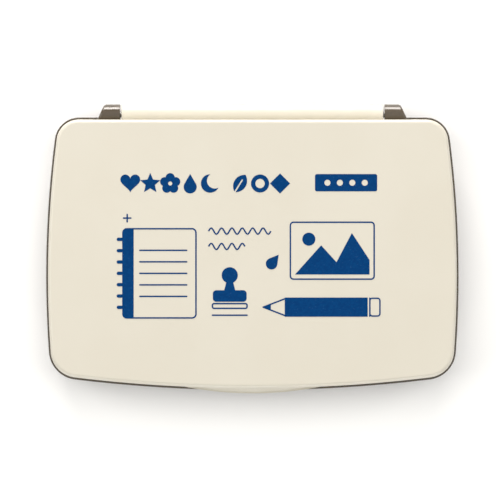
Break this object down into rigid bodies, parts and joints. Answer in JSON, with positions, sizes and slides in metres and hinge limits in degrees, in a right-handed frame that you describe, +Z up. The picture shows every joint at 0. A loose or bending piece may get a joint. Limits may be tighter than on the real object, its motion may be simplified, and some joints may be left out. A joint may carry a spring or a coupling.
{
  "type": "ink pad",
  "caption": "Hinged case for inking rubber stamps: a shallow dark tray holds a framed cloth ink pad on a sponge and felt, under a printed ivory lid that swings up on two short pins.",
  "frame": {"origin": "middle of the footprint on the surface the pad stands on, at the soles of its feet", "axes": "+Z up, +X along the case's width to the right as seen from the finger lip, +Y from the finger lip to the hinge"},
  "size_m": [0.108, 0.0756, 0.017],
  "materials": {
    "case_plastic": "glossy moulded plastic, dark bronze brown",
    "foot_rubber": "matt black rubber",
    "label_paper": "satin blank paper label",
    "pin_steel": "drawn steel",
    "tray_plastic": "dark moulded plastic, ink stained",
    "inked_felt": "felt soaked with ink",
    "inked_sponge": "fine sponge soaked with ink",
    "inked_cloth": "fine plain weave, damp with navy ink",
    "frame_plastic": "satin moulded plastic",
    "lid_plastic": "satin ivory moulded plastic",
    "liner_plastic": "semi-gloss moulded plastic, lightly ink stained",
    "print_ink": "pad-printed navy ink"
  },
  "bodies": {
    "base": {"base_tray": "case_plastic", "foot_front_left": "foot_rubber", "foot_front_right": "foot_rubber", "foot_rear_left": "foot_rubber", "foot_rear_right": "foot_rubber", "underside_label": "label_paper", "hinge_pin_left": "pin_steel", "hinge_pin_right": "pin_steel", "reservoir_tray": "tray_plastic", "ink_felt": "inked_felt", "sponge_layer": "inked_sponge", "pad_cloth": "inked_cloth", "pad_frame": "frame_plastic"},
    "lid": {"lid_shell": "lid_plastic", "lid_liner": "liner_plastic", "lid_print": "print_ink"}
  },
  "joints": [
    {"name": "lid_hinge", "type": "hinge", "parent": "base", "child": "lid", "pos_m": [0, 0.0351, 0.01], "axis": [-1, 0, 0], "range_deg": [0, 140]}
  ]
}
